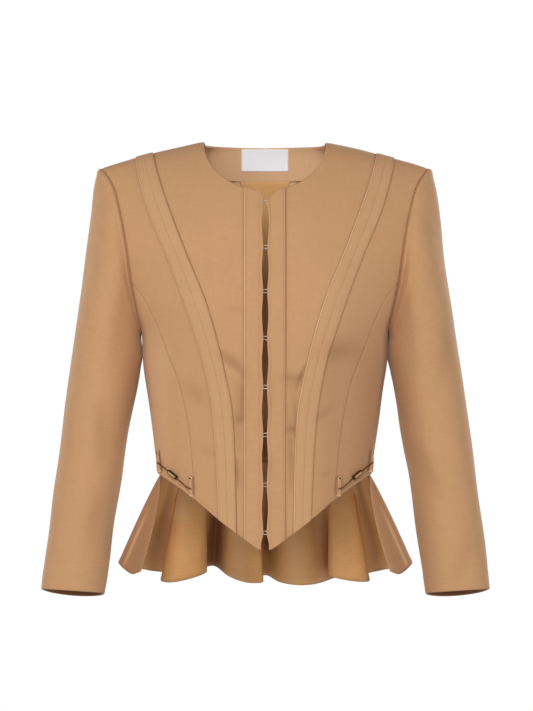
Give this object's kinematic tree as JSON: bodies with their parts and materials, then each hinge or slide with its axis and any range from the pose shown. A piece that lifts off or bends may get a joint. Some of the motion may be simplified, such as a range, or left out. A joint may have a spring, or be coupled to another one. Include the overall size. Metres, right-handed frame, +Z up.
{
  "type": "gabardine jacket",
  "caption": "Short collarless gabardine jacket, hollow as worn, with a hooked pointed front, shoulder-to-hem strips, long set-in sleeves and a fluted peplum at the back waist.",
  "frame": {"origin": "midway between the neck ends of the two shoulder seams, where the wearer's shoulders carry the jacket", "axes": "+X towards the wearer's left sleeve, +Y from the hooked front to the back, +Z up"},
  "size_m": [0.579, 0.2579, 0.593],
  "materials": {
    "gabardine": "matt camel twill",
    "lining": "golden satin lining",
    "label": "plain white woven tape",
    "antique_brass": "aged, dark in the recesses",
    "silver_wire": "bright plated wire"
  },
  "bodies": {
    "root": {"front_left": "gabardine", "front_right": "gabardine", "side_front_left": "gabardine", "side_front_right": "gabardine", "back_left": "gabardine", "back_right": "gabardine", "sleeve_left": "gabardine", "sleeve_right": "gabardine", "front_band_left": "gabardine", "front_band_right": "gabardine", "shoulder_strip_left": "gabardine", "shoulder_strip_right": "gabardine", "back_neck_facing": "gabardine", "peplum": "gabardine", "belt_loop_front_left": "gabardine", "belt_loop_front_right": "gabardine", "belt_loop_side_left": "gabardine", "belt_loop_side_right": "gabardine", "hanger_loop_left": "gabardine", "hanger_loop_right": "gabardine", "back_lining": "lining", "peplum_lining": "lining", "label": "label", "side_bar_left": "antique_brass", "side_bar_right": "antique_brass", "bar_slide_left": "antique_brass", "bar_slide_right": "antique_brass", "hook_1": "silver_wire", "hook_2": "silver_wire", "hook_3": "silver_wire", "hook_4": "silver_wire", "hook_5": "silver_wire", "hook_6": "silver_wire", "hook_7": "silver_wire", "hook_8": "silver_wire", "eye_1": "silver_wire", "eye_2": "silver_wire", "eye_3": "silver_wire", "eye_4": "silver_wire", "eye_5": "silver_wire", "eye_6": "silver_wire", "eye_7": "silver_wire", "eye_8": "silver_wire"}
  },
  "joints": []
}
